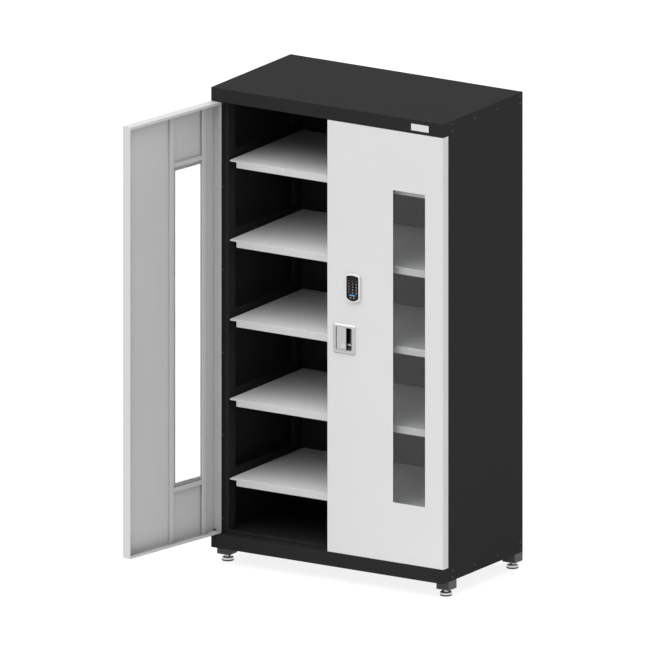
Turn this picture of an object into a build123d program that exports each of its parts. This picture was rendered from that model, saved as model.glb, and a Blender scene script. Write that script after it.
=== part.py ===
from build123d import *

import math
import os

# A two-door steel storage cabinet on levelling feet. Millimetres.
# X runs to the right, Y runs back from the closed doors' front plane, Z runs up from the floor.
# The left door is modelled closed, then swung to the open angle at which the cabinet is stored.

# ---- Carcass ---------------------------------------------------------------------------------
cabinet_width = 1000.0
cabinet_depth = 550.0
body_height = 1740.0          # carcass without its feet
body_bottom = 60.0            # underside of the carcass above the floor
fascia_height = 51.0
plinth_height = 53.0
sheet = 1.2                   # carcass, door and shelf sheet
edge_radius = 1.6             # outside radius of the folded front edges
fold_radius = 0.6             # inside radius of every other fold
past = 1.0                    # how far a cutting block runs past a face
sill_flange = 60.0            # inward flange round the underside of the base
stop_height = 12.0            # door stop above the plinth and below the fascia
panel_return = 12.0           # inward fold at the front and back edge of a side panel

post_width = 50.0             # from the cabinet's side to the post's inner face
post_depth = 48.0
post_lip = 14.0

# ---- Doors -----------------------------------------------------------------------------------
door_thickness = 37.0
door_back_gap = 3.0           # closed door to the carcass front, filled by the seal
door_gap = 1.5                # door to fascia and to plinth
centre_gap = 2.0              # between the two closed doors
door_lip = 11.0               # return lip at the top, the bottom and the hinge side
open_angle = 100.0            # how far the left door stands open
pivot_from_side = 9.0
pivot_from_front = 10.0

window_width = 138.0
window_height = 1181.0
window_from_hinge_side = 77.6
window_corner = 3.0

channel_depth = 10.0          # pressed channels on the inside of the door
channel_width = 20.6
channel_sheet = 1.2
rail_height = 17.0
window_margin = 15.0          # window edge to the channel and to the rails
retainer_gap = 1.0            # window edge to the hinge-side channel
retainer_foot = 8.0

glass_thickness = 4.0
glass_overlap = 12.0
glass_hinge_overlap = 5.0
tape_thickness = 1.0
tape_setback = 1.0
glass_clearance = 0.3

seal_width = 8.0
seal_thickness = 1.5
seal_inset = 2.0

# ---- Door pivots -----------------------------------------------------------------------------
pin_radius = 4.0
pin_head_radius = 7.0
pin_head = 2.0
pin_reach = 14.0              # pin inside the door
pin_chamfer = 1.0
running_clearance = 0.05
bush_wall = 2.0
bush_flange_radius = 7.0
seat_clearance = 0.3
hinge_bracket_size = 35.0
hinge_bracket_sheet = 3.0

# ---- Shelves ---------------------------------------------------------------------------------
shelf_count = 5
first_shelf_height = 207.0    # cabinet floor to the first shelf's top
last_shelf_depth = 225.5      # last shelf's top below the fascia
shelf_end_gap = 6.0           # shelf edge to the post's inner face
shelf_back_gap = 1.0
shelf_hem = 6.0
shelf_lip = 27.0
shelf_lip_inset = 28.0
shelf_edge_radius = 1.5
rail_upstand = 29.0           # shelf rail above the shelf
rail_flange = 29.0
rail_sheet = 1.2
rail_end_gap = 1.0

# ---- Legs and levelling feet -----------------------------------------------------------------
leg_size = 55.0
leg_drop = 33.0
leg_wall = 2.0
leg_floor = 3.0
leg_corner = 2.5
foot_from_side = 30.0
foot_from_leg_front = 28.0
foot_from_back = 24.0
stem_radius = 6.0
stem_top_gap = 5.0            # stem end to the base
stem_chamfer = 1.0
nut_across_flats = 19.0
nut_height = 6.0
foot_radius = 22.0
foot_top_radius = 17.0
foot_boss_radius = 9.0
foot_boss_height = 4.0
foot_pad_radius = 20.0
foot_pad_height = 3.0
foot_bevel = 4.0

# ---- Handle on the right door ----------------------------------------------------------------
handle_x = 75.7               # frame's middle, from the cabinet's middle
handle_z = 930.2              # middle of the grip opening
handle_width = 97.5
handle_top = 54.0             # frame's ends, from the grip's middle
handle_foot = -58.0
handle_proud = 5.0
handle_corner = 7.0
handle_bevel = 4.5
grip_left = -35.2             # opening in the frame, from its middle
grip_right = 33.5
grip_half_height = 42.8
grip_corner = 5.0
scoop_foot = 8.0              # where the sloped finger scoop meets the cup's floor
scoop_edge = 6.0
cup_depth = 20.0
cup_wall = 2.5
paddle_gap = 0.5
paddle_left = -32.7
paddle_right = 7.8
paddle_face = 3.5             # paddle face in front of the door
paddle_thickness = 4.0
paddle_corner = 3.2
paddle_edge = 1.0
paddle_rib_depth = 4.5
paddle_rib_thickness = 2.5
paddle_rib_inset = 4.0
barrel_x = -32.0
barrel_y = 0.5
barrel_radius = 2.5
handle_pin_radius = 1.5
key_x = -3.0
key_z = -27.2
key_radius = 7.0
key_cap_radius = 8.0
key_cap = 1.0
key_depth = 10.0
key_slot_length = 8.0
key_slot_width = 1.6
cam_thickness = 2.0
cam_width = 7.0
cam_length = 18.0
catch_left = 9.0
catch_top = -19.5
catch_foot = -27.2
catch_front = 6.0
catch_thickness = 3.0
boss_x = 9.2                  # mounting boss in the cup's lower corner
boss_radius = 4.0
boss_front = 9.5

# ---- Keypad on the right door ----------------------------------------------------------------
keypad_x = 114.5
keypad_z = 1127.0
keypad_proud = 8.5
keypad_edge = 2.5
keypad_crown = 4.5            # rise of the arched top
keypad_drop = 12.0            # drop of the arched foot
keypad_rim = 6.2              # housing around the touch face
face_width = 51.2
face_height = 96.2
face_corner = 3.0
face_thickness = 1.6
face_recess = 1.0
face_clearance = 0.15
cable_hole_radius = 6.0
battery_width = 56.0
battery_height = 88.0
battery_depth = 22.0
battery_wall = 2.0
battery_corner = 4.0

# ---- Two-point lock behind the handle --------------------------------------------------------
gear_teeth = 12
gear_module = 1.25
pressure_angle = 20.0
rack_addendum_share = 0.65    # stub rack teeth, so a 12-tooth pinion isn't undercut
root_clearance_share = 0.25   # of the module, between a tooth's tip and the root it meets
tooth_play = 0.12
pinion_x = -8.0               # from the handle's middle
pinion_width = 6.0
stud_radius = 2.5
lock_turn = 90.0              # pinion turn that throws the rods
case_half_width = 27.0
case_half_height = 25.0
case_depth = 13.0
case_wall = 1.5
case_corner = 3.2
rod_width = 10.0
rod_thickness = 4.0
rod_plane = 6.0               # cup back to the rods' mid-plane
rod_inset = 1.0               # retracted rod end below the door's end face
rack_spare_teeth = 2          # beyond the teeth that the pinion rolls over
slot_clearance = 0.5
keeper_clearance = 1.0
guide_width = 24.0
guide_depth = 12.0
guide_height = 12.0

# ---- Small pieces ----------------------------------------------------------------------------
head_bevel_share = 0.5        # of a head's height and radius
rivet_radius = 3.4
rivet_head = 0.9
rivet_first_from_front = 64.0
rivet_columns = 4
rivet_last_from_back = 19.0
rivet_corner_near = 13.5
rivet_corner_far = 39.0
rivet_middle = 25.0
screw_radius = 3.6
screw_head = 1.2
screw_count = 6
screw_from_side = 26.0
screw_first_below_top = 17.0
screw_last_above_floor = 50.0
plate_width = 75.0
plate_height = 25.0
plate_thickness = 1.0
plate_from_side = 62.0
plate_below_top = 15.0
plate_corner = 1.5

# ---- Places worked out from the sizes above --------------------------------------------------
half_width = cabinet_width / 2
body_top = body_bottom + body_height
opening_bottom = body_bottom + plinth_height
opening_top = body_top - fascia_height
carcass_front = door_thickness + door_back_gap
back_inner = cabinet_depth - 2 * sheet
door_bottom = opening_bottom + door_gap
door_top = opening_top - door_gap
door_width = half_width - centre_gap / 2
door_middle_z = (door_bottom + door_top) / 2
window_bottom = door_middle_z - window_height / 2
window_top = door_middle_z + window_height / 2
post_front = carcass_front + sheet
post_inner = half_width - post_width
pivot_x = half_width - pivot_from_side
shelf_half = post_inner - shelf_end_gap
channel_top = sheet + channel_depth
bush_radius = pin_radius + bush_wall
first_shelf_top = opening_bottom + first_shelf_height
shelf_pitch = (opening_top - last_shelf_depth - first_shelf_top) / (shelf_count - 1)
shelf_tops = [first_shelf_top + shelf_pitch * i for i in range(shelf_count)]

pinion_pitch_radius = gear_teeth * gear_module / 2
rack_addendum = rack_addendum_share * gear_module
root_clearance = root_clearance_share * gear_module
rack_root = pinion_pitch_radius + gear_module + root_clearance
rack_rolled_teeth = math.ceil(gear_teeth * lock_turn / 360)
rod_middle_y = cup_depth + cup_wall + rod_plane
pinion_centre_x = handle_x + pinion_x
rod_offset_x = rack_root + rod_width / 2

foot_xs = [-(half_width - foot_from_side), half_width - foot_from_side]
foot_front_y = carcass_front + foot_from_leg_front
foot_back_y = cabinet_depth - foot_from_back
leg_bottom = body_bottom - leg_drop
nut_bottom = leg_bottom - nut_height

to_row_frame = Pos(0, -cabinet_depth / 2, 0)


# ---- Shared forms ----------------------------------------------------------------------------
def block(x_span, y_span, z_span):
    """A straight block between two values along each axis."""
    spans = (x_span, y_span, z_span)
    centre = [(low + high) / 2 for low, high in spans]
    size = [high - low for low, high in spans]
    return Pos(*centre) * Box(*size)


def tall_block(x_span, y_span, z_span, radius):
    """A block with its four upright edges rounded."""
    solid = block(x_span, y_span, z_span)
    return fillet(solid.edges().filter_by(Axis.Z), radius)


def rod(radius, z_span, x=0.0, y=0.0):
    """An upright cylinder."""
    height = z_span[1] - z_span[0]
    return Pos(x, y, (z_span[0] + z_span[1]) / 2) * Cylinder(radius, height)


def rod_along_y(radius, y_span, x, z):
    """A cylinder that points into the cabinet."""
    height = y_span[1] - y_span[0]
    middle = (y_span[0] + y_span[1]) / 2
    return Pos(x, middle, z) * Rot(90, 0, 0) * Cylinder(radius, height)


def folded_section(points, thickness, inside_radius, side):
    """The section of a folded sheet: its visible line, thickened to the left (1) or the right (-1)."""
    line = [Vector(*point) for point in points]
    ways = [(end - start).normalized() for start, end in zip(line, line[1:])]
    normals = [Vector(-way.Y, way.X) * side for way in ways]
    hidden = [line[0] + normals[0] * thickness]
    line_radii = []
    hidden_radii = []
    for index, corner in enumerate(line[1:-1]):
        before, after = normals[index], normals[index + 1]
        hidden.append(corner + (before + after) * (thickness / (1 + before.dot(after))))
        folds_over_hidden = ways[index].cross(ways[index + 1]).Z * side > 0
        line_radii.append(inside_radius + (thickness if folds_over_hidden else 0))
        hidden_radii.append(inside_radius + (0 if folds_over_hidden else thickness))
    hidden.append(line[-1] + normals[-1] * thickness)
    outline = FilletPolyline(*line, radius=line_radii) + Line(line[-1], hidden[-1])
    outline += FilletPolyline(*hidden, radius=hidden_radii) + Line(hidden[0], line[0])
    return make_face(outline)


def other_side(shape):
    """The same piece on the other side of the cabinet."""
    return mirror(shape, about=Plane.YZ)


def rounded_front(solid, radius):
    """Rounds the four edges of a block's front face."""
    front = solid.faces().sort_by(Axis.Y)[0]
    return fillet(front.edges(), radius)


def rounded_pan(solid, radius):
    """Rounds a door's folds: all four in front, and those of the lips at the back."""
    by_depth = solid.faces().sort_by(Axis.Y)
    lip_folds = by_depth[-1].edges().sort_by(Axis.X)[:-1]
    return fillet(by_depth[0].edges() + lip_folds, radius)


# ---- Carcass ---------------------------------------------------------------------------------
def tray_outline(z_span):
    """Full width in front of the side panels, one sheet narrower between them."""
    nose = block((-half_width, half_width), (0, carcass_front), z_span)
    inner_half = half_width - sheet
    tail = block((-inner_half, inner_half), (carcass_front - sheet, back_inner), z_span)
    return rounded_front(nose, edge_radius) + tail


def tray_hollow(z_span):
    """The space inside a tray's walls."""
    nose_half = half_width - sheet
    nose = block((-nose_half, nose_half), (sheet, carcass_front - sheet), z_span)
    tail_half = half_width - 2 * sheet
    tail = block((-tail_half, tail_half), (sheet, back_inner - sheet), z_span)
    return nose + tail


def keeper_slot(x, z_span):
    """Slot that a lock rod is thrown into."""
    half_x = rod_width / 2 + keeper_clearance
    half_y = rod_thickness / 2 + keeper_clearance
    y_span = (rod_middle_y - half_y, rod_middle_y + half_y)
    return block((x - half_x, x + half_x), y_span, z_span)


def door_stop(z_span):
    """Strip behind the doors, between the side panels' front folds."""
    half = half_width - panel_return
    return block((-half, half), (carcass_front, carcass_front + sheet), z_span)


def pivot_holes(z_span, radius):
    """Two upright holes on the door pivots."""
    left = rod(radius, z_span, -pivot_x, pivot_from_front)
    return left + other_side(left)


def top_tray():
    """Top panel with its fascia, folded from one sheet and open below."""
    tray = tray_outline((opening_top, body_top))
    tray += door_stop((opening_top - stop_height, opening_top + sheet))
    tray -= tray_hollow((opening_top + sheet, body_top - sheet))
    tail_half = half_width - 2 * sheet
    mouth_y = (carcass_front + sheet, back_inner - sheet)
    tray -= block((-tail_half, tail_half), mouth_y, (opening_top - sheet, opening_top + 2 * sheet))
    through = (opening_top - sheet, opening_top + 2 * sheet)
    tray -= pivot_holes(through, pin_radius + running_clearance)
    tray -= keeper_slot(pinion_centre_x - rod_offset_x, through)
    return tray


def base_tray():
    """Cabinet floor with its plinth and the flanges that the legs hang from."""
    tray = tray_outline((body_bottom, opening_bottom))
    tray += door_stop((opening_bottom - sheet, opening_bottom + stop_height))
    tray -= tray_hollow((body_bottom + sheet, opening_bottom - sheet))
    mouth_half = half_width - sheet - sill_flange
    mouth_y = (sill_flange, back_inner - sill_flange)
    tray -= block((-mouth_half, mouth_half), mouth_y, (body_bottom - sheet, body_bottom + 2 * sheet))
    through = (opening_bottom - 2 * sheet, opening_bottom + sheet)
    tray -= pivot_holes(through, pin_radius + running_clearance)
    tray -= keeper_slot(pinion_centre_x + rod_offset_x, through)
    return tray


def side_panel():
    """Left side panel, folded inwards at its front and back edges."""
    inner_edge = -half_width + panel_return
    points = [
        (inner_edge, carcass_front),
        (-half_width, carcass_front),
        (-half_width, cabinet_depth),
        (inner_edge, cabinet_depth),
    ]
    section = folded_section(points, sheet, fold_radius, -1)
    walls = Pos(0, 0, body_bottom) * extrude(section, body_height, dir=(0, 0, 1))
    tray_half = half_width - sheet
    for z_span in ((body_bottom - past, opening_bottom), (opening_top, body_top + past)):
        walls -= block((-tray_half, 0), (carcass_front - past, carcass_front + 2 * sheet), z_span)
    return walls


def back_panel():
    """Flat sheet behind the posts, inside the side panels' back folds."""
    half = half_width - sheet - fold_radius
    return block((-half, half), (back_inner, cabinet_depth - sheet), (body_bottom, body_top))


def post_section(front, depth_sign):
    """C-section of a left post; its web faces the doors or the back."""
    outer = -half_width + sheet
    inner = -post_inner
    far = front + depth_sign * post_depth
    points = [(outer, far), (outer, front), (inner, front), (inner, far), (inner - post_lip, far)]
    return folded_section(points, sheet, fold_radius, depth_sign)


def post(front, depth_sign):
    """Upright between the cabinet floor and the top tray."""
    height = opening_top - opening_bottom
    return Pos(0, 0, opening_bottom) * extrude(post_section(front, depth_sign), height, dir=(0, 0, 1))


def door_seal():
    """Foam strip round the opening, on the side panels' folds and the two door stops."""
    outer_x = half_width - seal_inset
    outer_z = (opening_bottom + seal_inset, opening_top - seal_inset)
    y_span = (carcass_front - seal_thickness, carcass_front)
    ring = block((-outer_x, outer_x), y_span, outer_z)
    inner_x = outer_x - seal_width
    inner_z = (outer_z[0] + seal_width, outer_z[1] - seal_width)
    return ring - block((-inner_x, inner_x), (y_span[0] - past, y_span[1] + past), inner_z)


# ---- Shelves ---------------------------------------------------------------------------------
def shelf(top):
    """Folded shelf: deep lips under the middle, a shallow hem over the side rails."""
    y_span = (post_front, back_inner - shelf_back_gap)
    lip_half = shelf_half - shelf_lip_inset
    plate = block((-shelf_half, shelf_half), y_span, (top - shelf_hem, top))
    plate = fillet(plate.faces().sort_by(Axis.Z)[-1].edges(), shelf_edge_radius)
    tray = plate + block((-lip_half, lip_half), y_span, (top - shelf_lip, top - shelf_hem))
    inner_y = (y_span[0] + sheet, y_span[1] - sheet)
    tray -= block((sheet - lip_half, lip_half - sheet), inner_y, (top - shelf_lip - past, top - sheet))
    pocket = block((-shelf_half + sheet, -lip_half), inner_y, (top - shelf_hem - past, top - sheet))
    return tray - pocket - other_side(pocket)


def shelf_rail(top):
    """Left angle under one shelf, screwed to the inner faces of both posts."""
    web_x = -post_inner
    flange_top = top - shelf_hem
    points = [
        (web_x + rail_sheet, top + rail_upstand),
        (web_x + rail_sheet, flange_top),
        (web_x + rail_flange, flange_top),
    ]
    section = Plane.XZ * folded_section(points, rail_sheet, fold_radius, -1)
    length = back_inner - post_front - 2 * rail_end_gap
    return Pos(0, post_front + rail_end_gap, 0) * extrude(section, length, dir=(0, 1, 0))


# ---- Legs and feet ---------------------------------------------------------------------------
def leg(foot_x, foot_y, y_front):
    """Pressed square cup under a corner of the base, with a hole for the foot's stem."""
    outer = half_width if foot_x > 0 else -half_width
    inner = outer - math.copysign(leg_size, foot_x)
    x_span = (min(outer, inner), max(outer, inner))
    y_span = (y_front, y_front + leg_size)
    cup = tall_block(x_span, y_span, (leg_bottom, body_bottom), leg_corner)
    hollow_x = (x_span[0] + leg_wall, x_span[1] - leg_wall)
    hollow_y = (y_span[0] + leg_wall, y_span[1] - leg_wall)
    cup -= block(hollow_x, hollow_y, (leg_bottom + leg_floor, body_bottom + past))
    floor_span = (leg_bottom - past, leg_bottom + leg_floor + past)
    return cup - rod(stem_radius + running_clearance, floor_span, foot_x, foot_y)


def foot_nut(foot_x, foot_y):
    """Lock nut under the leg."""
    hexagon = RegularPolygon(nut_across_flats / 2, 6, major_radius=False)
    nut = extrude(hexagon, nut_height) - rod(stem_radius + running_clearance, (-past, nut_height + past))
    return Pos(foot_x, foot_y, nut_bottom) * nut


def foot(foot_x, foot_y):
    """Turned levelling foot: stem, boss, bevelled disc."""
    disc_top = nut_bottom - foot_boss_height
    stem_top = body_bottom - stem_top_gap
    outline = Polyline(
        (0, foot_pad_height),
        (foot_radius - foot_bevel / 2, foot_pad_height),
        (foot_radius, foot_pad_height + foot_bevel / 2),
        (foot_radius, disc_top - foot_bevel),
        (foot_top_radius, disc_top),
        (foot_boss_radius, disc_top),
        (foot_boss_radius, nut_bottom),
        (stem_radius, nut_bottom),
        (stem_radius, stem_top - stem_chamfer),
        (stem_radius - stem_chamfer, stem_top),
        (0, stem_top),
        close=True,
    )
    turned = revolve(Plane.XZ * make_face(outline), Axis.Z)
    return Pos(foot_x, foot_y, 0) * turned


def foot_pad(foot_x, foot_y):
    """Rubber pad that the disc stands on."""
    pad = rod(foot_pad_radius, (0, foot_pad_height), foot_x, foot_y)
    return chamfer(pad.edges().sort_by(Axis.Z)[0], foot_pad_height / 4)


# ---- Doors, modelled as the closed left door --------------------------------------------------
def door_x(from_hinge_side):
    """Place across the closed left door."""
    return -half_width + from_hinge_side


def window_x(grow_hinge=0.0, grow_free=0.0):
    """Span of the window across the closed left door."""
    low = door_x(window_from_hinge_side)
    return (low - grow_hinge, low + window_width + grow_free)


def bush_hole():
    """Hole up the pivot for the bushes."""
    z_span = (door_bottom - past, door_top + past)
    return rod(bush_radius + running_clearance, z_span, -pivot_x, pivot_from_front)


def door_panel():
    """Door skin folded into a pan, with a lip on three sides and a window."""
    x_span = (door_x(0), door_x(door_width))
    z_span = (door_bottom, door_top)
    pan = rounded_pan(block(x_span, (0, door_thickness), z_span), edge_radius)
    inner_x = (x_span[0] + sheet, x_span[1] - sheet)
    inner_z = (z_span[0] + sheet, z_span[1] - sheet)
    pan -= block(inner_x, (sheet, door_thickness - sheet), inner_z)
    mouth_x = (x_span[0] + door_lip, inner_x[1])
    mouth_z = (z_span[0] + door_lip, z_span[1] - door_lip)
    pan -= block(mouth_x, (door_thickness - 2 * sheet, door_thickness + past), mouth_z)
    window = block(window_x(), (-sheet, 3 * sheet), (window_bottom, window_top))
    pan -= fillet(window.edges().filter_by(Axis.Y), window_corner)
    return pan - bush_hole()


def upright_channel():
    """Channel up the free side of the window, its two legs welded to the skin."""
    left = door_x(window_from_hinge_side + window_width + window_margin)
    right = left + channel_width
    points = [(left, sheet), (left, channel_top), (right, channel_top), (right, sheet)]
    section = folded_section(points, channel_sheet, fold_radius, -1)
    height = door_top - door_bottom - 2 * sheet
    return Pos(0, 0, door_bottom + sheet) * extrude(section, height, dir=(0, 0, 1))


def retainer_channel():
    """Channel up the hinge side of the window; its short leg holds the glass."""
    right = door_x(window_from_hinge_side - retainer_gap)
    left = right - channel_width
    foot_face = sheet + channel_sheet
    leg_end = sheet + tape_thickness + glass_thickness + glass_clearance
    points = [
        (left - retainer_foot, foot_face),
        (left, foot_face),
        (left, channel_top),
        (right, channel_top),
        (right, leg_end),
    ]
    section = folded_section(points, channel_sheet, fold_radius, -1)
    height = door_top - door_bottom - 2 * sheet
    return Pos(0, 0, door_bottom + sheet) * extrude(section, height, dir=(0, 0, 1))


def window_rail(low_z):
    """Channel across the door above or below the window, between the two uprights."""
    high_z = low_z + rail_height
    points = [(sheet, low_z), (channel_top, low_z), (channel_top, high_z), (sheet, high_z)]
    section = Plane.YZ * folded_section(points, channel_sheet, fold_radius, 1)
    start = door_x(window_from_hinge_side - retainer_gap)
    length = window_width + window_margin + retainer_gap
    return Pos(start, 0, 0) * extrude(section, length, dir=(1, 0, 0))


def window_rails():
    """The rail above the window and the one below it."""
    below = window_rail(window_bottom - window_margin - rail_height)
    above = window_rail(window_top + window_margin)
    return [below, above]


def window_pane(y_span):
    """A sheet that covers the window and its overlap."""
    x_span = window_x(glass_hinge_overlap, glass_overlap)
    z_span = (window_bottom - glass_overlap, window_top + glass_overlap)
    return block(x_span, y_span, z_span)


def window_tape():
    """Glazing tape between the skin and the glass."""
    y_span = (sheet, sheet + tape_thickness)
    z_span = (window_bottom - tape_setback, window_top + tape_setback)
    inside = block(window_x(tape_setback, tape_setback), (0, door_thickness), z_span)
    return window_pane(y_span) - inside


def window_glass():
    """Clear pane bonded behind the skin."""
    front = sheet + tape_thickness
    return window_pane((front, front + glass_thickness))


def hinge_bracket(end_z, inward):
    """Folded angle welded into a hinge-side corner of the door."""
    corner_x = door_x(sheet)
    face = end_z + inward * sheet
    points = [
        (corner_x, face + inward * hinge_bracket_size),
        (corner_x, face),
        (corner_x + hinge_bracket_size, face),
    ]
    section = Plane.XZ * folded_section(points, hinge_bracket_sheet, fold_radius, inward)
    depth = door_thickness - 2 * sheet
    plate = Pos(0, sheet, 0) * extrude(section, depth, dir=(0, 1, 0))
    return plate - bush_hole()


def hinge_bush(end_z, inward):
    """Flanged nylon bush in the door's end and its bracket."""
    reach = sheet + hinge_bracket_sheet + bush_wall
    body_span = sorted((end_z, end_z + inward * reach))
    flange_span = sorted((end_z, end_z - inward * (door_gap - seat_clearance)))
    bush = rod(bush_radius, body_span, -pivot_x, pivot_from_front)
    bush += rod(bush_flange_radius, flange_span, -pivot_x, pivot_from_front)
    bore_span = (door_bottom - reach, door_top + reach)
    bore = rod(pin_radius + running_clearance, bore_span, -pivot_x, pivot_from_front)
    return bush - bore


def hinge_pin(face_z, outward):
    """Headed pin riveted through the tray, reaching into the closed left door."""
    head_face = face_z + outward * sheet
    tip = face_z - outward * (door_gap + pin_reach)
    shank = rod(pin_radius, sorted((head_face, tip)), -pivot_x, pivot_from_front)
    tip_edge = shank.edges().sort_by(Axis.Z)[0 if outward > 0 else -1]
    head_span = sorted((head_face, head_face + outward * pin_head))
    head = rod(pin_head_radius, head_span, -pivot_x, pivot_from_front)
    return chamfer(tip_edge, pin_chamfer) + head


def swing_open(shape):
    """Turns a piece of the closed left door about its pivot."""
    pivot = Pos(-pivot_x, pivot_from_front, 0)
    return pivot * Rot(0, 0, -open_angle) * pivot.inverse() * shape


# ---- Handle ----------------------------------------------------------------------------------
def handle_place(shape):
    """Moves a piece from the handle's middle to its place on the right door."""
    return Pos(handle_x, 0, handle_z) * shape


def grip_hollow():
    """Room for the paddle, with one side sloped into a finger scoop."""
    mouth = -handle_proud
    slope_top = (grip_right, mouth)
    slope_end = (scoop_foot, cup_depth)
    outline = Polyline((grip_left, mouth), slope_top, slope_end, (grip_left, cup_depth), close=True)
    hollow = Pos(0, 0, -grip_half_height) * extrude(make_face(outline), 2 * grip_half_height)
    across = hollow.edges().filter_by(Axis.Z, reverse=True).filter_by(Axis.X, reverse=True)
    return fillet(across, grip_corner)


def scoop_lip():
    """Rounding where the finger scoop meets the frame's face."""
    slope = (scoop_foot - grip_right, cup_depth + handle_proud)
    turn = math.atan2(slope[1], -slope[0])
    reach = scoop_edge * math.tan(turn / 2)
    along = (-math.cos(turn), math.sin(turn))
    corner = (grip_right, -handle_proud)
    before = (corner[0] + reach, corner[1])
    after = (corner[0] + reach * along[0], corner[1] + reach * along[1])
    outline = TangentArc(before, after, tangent=(-1, 0)) + Polyline(after, corner, before)
    half = grip_half_height - grip_corner
    return Pos(0, 0, -half) * extrude(make_face(outline), 2 * half)


def handle_housing():
    """Cast frame and cup, with the catch that the key's cam locks behind."""
    half_w = handle_width / 2
    frame = block((-half_w, half_w), (-handle_proud, 0), (handle_foot, handle_top))
    frame = fillet(frame.edges().filter_by(Axis.Y), handle_corner)
    frame = chamfer(frame.faces().sort_by(Axis.Y)[0].edges(), handle_bevel)
    cup_x = (grip_left - cup_wall, grip_right + cup_wall)
    cup_half = grip_half_height + cup_wall
    cup = block(cup_x, (-past, cup_depth + cup_wall), (-cup_half, cup_half))
    housing = frame + cup - grip_hollow() - scoop_lip()
    catch_y = (catch_front, catch_front + catch_thickness)
    housing += block((catch_left, grip_right), catch_y, (catch_foot, catch_top))
    boss_z = boss_radius - grip_half_height
    housing += rod_along_y(boss_radius, (boss_front, cup_depth + past), boss_x, boss_z)
    pin_reach_z = grip_half_height + cup_wall / 2
    return housing - rod(handle_pin_radius, (-pin_reach_z, pin_reach_z), barrel_x, barrel_y)


def handle_pin():
    """Pin that the paddle turns on, fixed in the cup."""
    reach = grip_half_height + cup_wall / 2
    return rod(handle_pin_radius, (-reach, reach), barrel_x, barrel_y)


def handle_paddle():
    """Pull flap with a barrel at its left edge and a stiffening rib near its right edge."""
    half = grip_half_height - paddle_gap
    back = paddle_thickness - paddle_face
    flap = block((paddle_left, paddle_right), (-paddle_face, back), (-half, half))
    flap = fillet(flap.edges().filter_by(Axis.Y), paddle_corner)
    flap = fillet(flap.faces().sort_by(Axis.Y)[0].edges(), paddle_edge)
    rib_right = paddle_right - paddle_rib_inset
    rib_half = half - paddle_corner
    rib_y = (back - past, paddle_rib_depth)
    flap += block((rib_right - paddle_rib_thickness, rib_right), rib_y, (-rib_half, rib_half))
    flap += rod(barrel_radius, (-rib_half, rib_half), barrel_x, barrel_y)
    flap -= rod(handle_pin_radius + running_clearance, (-half - past, half + past), barrel_x, barrel_y)
    hole = rod_along_y(key_radius + running_clearance, (-handle_proud, key_depth), key_x, key_z)
    return flap - hole


def key_cylinder():
    """Lock cylinder with its slotted cap and the cam on its tail."""
    face = -paddle_face - seat_clearance
    body = rod_along_y(key_radius, (face, key_depth), key_x, key_z)
    cap = rod_along_y(key_cap_radius, (face - key_cap, face), key_x, key_z)
    cap = fillet(cap.edges().sort_by(Axis.Y)[0], key_cap / 2)
    half_slot = (key_slot_width / 2, key_slot_length / 2)
    slot_x = (key_x - half_slot[0], key_x + half_slot[0])
    slot_z = (key_z - half_slot[1], key_z + half_slot[1])
    slot = block(slot_x, (face - key_cap - past, face + key_cap), slot_z)
    half_cam = cam_width / 2
    cam_y = (key_depth, key_depth + cam_thickness)
    cam = block((key_x - half_cam, key_x + half_cam), cam_y, (key_z - half_cam, key_z + cam_length))
    cam = fillet(cam.edges().filter_by(Axis.Y), half_cam - seat_clearance)
    return body + cap + cam - slot


# ---- Keypad ----------------------------------------------------------------------------------
def keypad_outline(rim):
    """Straight sides, arched top and foot and rounded corners, a rim wider than the touch face."""
    half_w = face_width / 2 + rim
    half_h = face_height / 2 + rim
    low = keypad_drop - half_h
    shoulder = half_h - keypad_crown
    line = Line((-half_w, shoulder), (-half_w, low))
    line += ThreePointArc((-half_w, low), (0, -half_h), (half_w, low))
    line += Line((half_w, low), (half_w, shoulder))
    line += ThreePointArc((half_w, shoulder), (0, half_h), (-half_w, shoulder))
    outline = make_face(line)
    return Plane.XZ * fillet(outline.vertices(), face_corner + rim)


def keypad_place(shape):
    """Moves a piece from the keypad's middle to its place on the right door."""
    return Pos(keypad_x, 0, keypad_z) * shape


def keypad_housing():
    """White housing with a shallow recess for the touch face."""
    body = extrude(keypad_outline(keypad_rim), keypad_proud, dir=(0, -1, 0))
    body = fillet(body.faces().sort_by(Axis.Y)[0].edges(), keypad_edge)
    recess = extrude(keypad_outline(face_clearance), keypad_proud, dir=(0, -1, 0))
    return body - Pos(0, face_recess - keypad_proud, 0) * recess


def keypad_face():
    """Glossy touch face, flat, with no moving keys."""
    face = extrude(keypad_outline(0), face_thickness, dir=(0, -1, 0))
    return Pos(0, face_recess - keypad_proud, 0) * face


def battery_case():
    """Battery case on the inside of the door, behind the keypad."""
    half_w = battery_width / 2
    half_h = battery_height / 2
    case = block((-half_w, half_w), (sheet, sheet + battery_depth), (-half_h, half_h))
    case = fillet(case.edges().filter_by(Axis.Y), battery_corner)
    hollow_x = (battery_wall - half_w, half_w - battery_wall)
    hollow_z = (battery_wall - half_h, half_h - battery_wall)
    hollow = block(hollow_x, (0, sheet + battery_depth - battery_wall), hollow_z)
    return case - fillet(hollow.edges().filter_by(Axis.Y), battery_corner - battery_wall)


# ---- Lock ------------------------------------------------------------------------------------
def involute_point(base_radius, radius):
    """Angle that an involute has turned through when it reaches a radius."""
    roll = math.sqrt((radius / base_radius) ** 2 - 1)
    return roll - math.atan(roll)


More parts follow.
